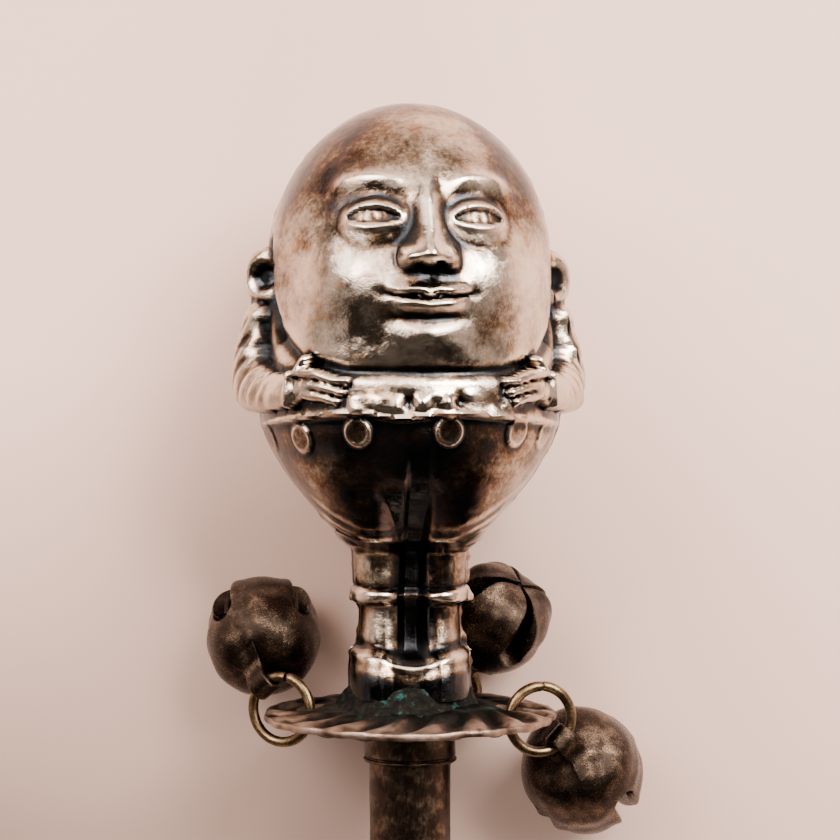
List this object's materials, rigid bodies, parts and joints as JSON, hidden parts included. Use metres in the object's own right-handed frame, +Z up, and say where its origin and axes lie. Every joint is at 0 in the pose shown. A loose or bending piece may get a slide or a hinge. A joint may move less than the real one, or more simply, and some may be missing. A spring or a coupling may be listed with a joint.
{
  "type": "baby rattle",
  "caption": "Silver-plated rattle: hollow egg-shaped figure on a domed flange with hanging jingle bells, above a tubular whistle handle.",
  "frame": {"origin": "middle of the bounding box at the height of the table that the rattle lies on", "axes": "+Y from the mouth end of the handle to the top of the head, +Z up out of the table, so the figure lies on its back and faces up; +X to the side that is on the right with the figure facing the viewer and its head up"},
  "size_m": [0.0456, 0.1092, 0.0345],
  "materials": {
    "silver": "polished and tarnished",
    "dull_silver": "worn and tarnished",
    "dark_bronze": "satin, darkened",
    "gold_bronze": "satin, worn",
    "brass": "dull",
    "steel": "dull"
  },
  "bodies": {
    "root": {"figure_front_shell": "silver", "figure_back_shell": "silver", "base_flange": "dull_silver", "ferrule_cap": "dark_bronze", "handle_tube": "dark_bronze", "fipple_block": "brass", "mouth_ring": "brass"},
    "left_ring": {"left_ring": "gold_bronze"},
    "left_bell": {"left_bell_loop": "dark_bronze", "left_bell_body": "dark_bronze"},
    "left_bell_pellet": {"left_bell_pellet": "steel"},
    "right_ring": {"right_ring": "gold_bronze"},
    "right_bell": {"right_bell_loop": "dark_bronze", "right_bell_body": "dark_bronze"},
    "right_bell_pellet": {"right_bell_pellet": "steel"},
    "back_ring": {"back_ring": "gold_bronze"},
    "back_bell": {"back_bell_loop": "dark_bronze", "back_bell_body": "dark_bronze"},
    "back_bell_pellet": {"back_bell_pellet": "steel"},
    "head_pellet_1": {"head_pellet_1": "steel"},
    "head_pellet_2": {"head_pellet_2": "steel"},
    "head_pellet_3": {"head_pellet_3": "steel"},
    "head_pellet_4": {"head_pellet_4": "steel"},
    "head_pellet_5": {"head_pellet_5": "steel"}
  },
  "joints": [
    {"name": "left_ring_swing", "type": "hinge", "parent": "root", "child": "left_ring", "pos_m": [-0.01141, -0.00588, 0.01417], "axis": [-0.4384, -0.0682, 0.8962], "range_deg": [-22, 8]},
    {"name": "left_bell_swing", "type": "hinge", "parent": "left_ring", "child": "left_bell", "pos_m": [-0.01621, -0.00311, 0.01204], "axis": [0.7083, 0.5877, 0.3911], "range_deg": [-6, 105]},
    {"name": "left_bell_pellet_hop", "type": "slide", "parent": "left_bell", "child": "left_bell_pellet", "axis": [0, 0, 1], "range_m": [0, 0.00725]},
    {"name": "right_ring_swing", "type": "hinge", "parent": "root", "child": "right_ring", "pos_m": [0.00857, -0.00593, 0.01487], "axis": [-0.2756, 0.0729, -0.9585], "range_deg": [-35, 16]},
    {"name": "right_bell_swing", "type": "hinge", "parent": "right_ring", "child": "right_bell", "pos_m": [0.01393, -0.0089, 0.0131], "axis": [0.6677, 0.7318, -0.1364], "range_deg": [-98, 5]},
    {"name": "right_bell_pellet_hop", "type": "slide", "parent": "right_bell", "child": "right_bell_pellet", "axis": [0, 0, 1], "range_m": [0, 0.008]},
    {"name": "back_ring_swing", "type": "hinge", "parent": "root", "child": "back_ring", "pos_m": [0.00032, -0.00516, 0.0047], "axis": [-0.5736, 0.0621, -0.8168], "range_deg": [-8, 12]},
    {"name": "back_bell_swing", "type": "hinge", "parent": "back_ring", "child": "back_bell", "pos_m": [0.00372, -0.0018, 0.00257], "axis": [-0.7912, 0.2161, 0.5721], "range_deg": [-7, 100]},
    {"name": "back_bell_pellet_hop", "type": "slide", "parent": "back_bell", "child": "back_bell_pellet", "axis": [0, 0, 1], "range_m": [0, 0.0065]},
    {"name": "head_pellet_1_hop", "type": "slide", "parent": "root", "child": "head_pellet_1", "axis": [0, 0, 1], "range_m": [0, 0.02675]},
    {"name": "head_pellet_2_hop", "type": "slide", "parent": "root", "child": "head_pellet_2", "axis": [0, 0, 1], "range_m": [0, 0.02575]},
    {"name": "head_pellet_3_hop", "type": "slide", "parent": "root", "child": "head_pellet_3", "axis": [0, 0, 1], "range_m": [0, 0.02575]},
    {"name": "head_pellet_4_hop", "type": "slide", "parent": "root", "child": "head_pellet_4", "axis": [0, 0, 1], "range_m": [0, 0.0265]},
    {"name": "head_pellet_5_hop", "type": "slide", "parent": "root", "child": "head_pellet_5", "axis": [0, 0, 1], "range_m": [0, 0.02575]}
  ]
}
